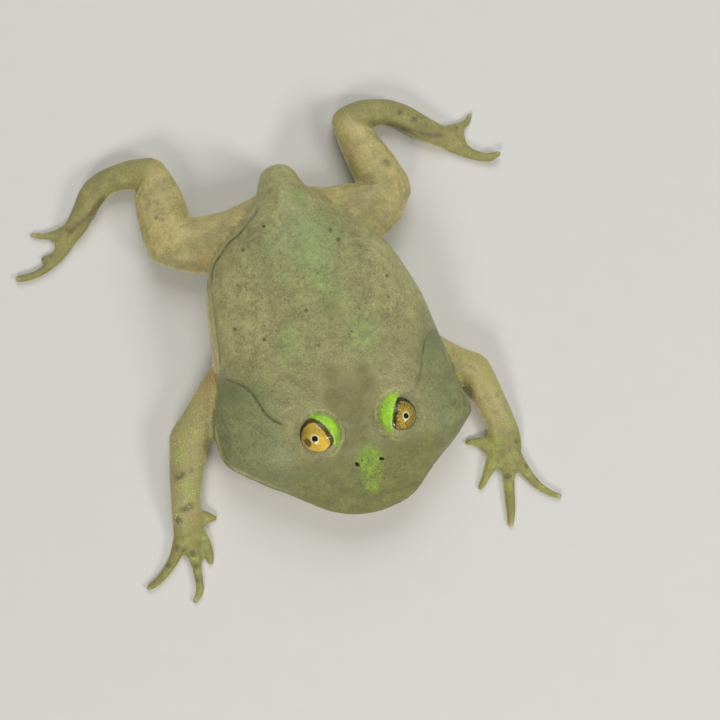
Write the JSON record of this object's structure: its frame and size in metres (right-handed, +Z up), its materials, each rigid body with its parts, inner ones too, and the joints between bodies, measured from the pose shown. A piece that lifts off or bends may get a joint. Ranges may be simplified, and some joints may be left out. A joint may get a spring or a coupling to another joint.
{
  "type": "budgetts frog",
  "caption": "Life-size still model of a budgetts frog, a broad flat wide-mouthed frog lying sprawled on its belly, legs spread, webbed hind feet and eyes on top of its head.",
  "frame": {"origin": "middle of the flat of the belly that rests on the floor, under the trunk's middle", "axes": "+Z up, the head looks along -Y, +X is the frog's left side"},
  "size_m": [0.11, 0.1002, 0.0234],
  "materials": {
    "back_skin": "moist, softly glossy olive khaki with green clouds",
    "limb_skin": "moist, yellowish olive with dark blotches and pale grains",
    "throat_skin": "moist, pale cream olive",
    "eye": "clear, wet, golden iris and black pupil",
    "spade": "smooth black horn"
  },
  "bodies": {
    "root": {"torso": "back_skin", "head": "back_skin", "lower_jaw": "throat_skin", "upper_arm_right": "limb_skin", "forearm_right": "limb_skin", "hand_right": "limb_skin", "finger_i_right": "limb_skin", "finger_ii_right": "limb_skin", "finger_iii_right": "limb_skin", "finger_iv_right": "limb_skin", "thigh_right": "limb_skin", "shank_right": "limb_skin", "foot_right": "limb_skin", "upper_arm_left": "limb_skin", "forearm_left": "limb_skin", "hand_left": "limb_skin", "finger_i_left": "limb_skin", "finger_ii_left": "limb_skin", "finger_iii_left": "limb_skin", "finger_iv_left": "limb_skin", "thigh_left": "limb_skin", "shank_left": "limb_skin", "foot_left": "limb_skin", "eye_right": "eye", "eye_left": "eye", "spade_right": "spade", "spade_left": "spade"}
  },
  "joints": []
}
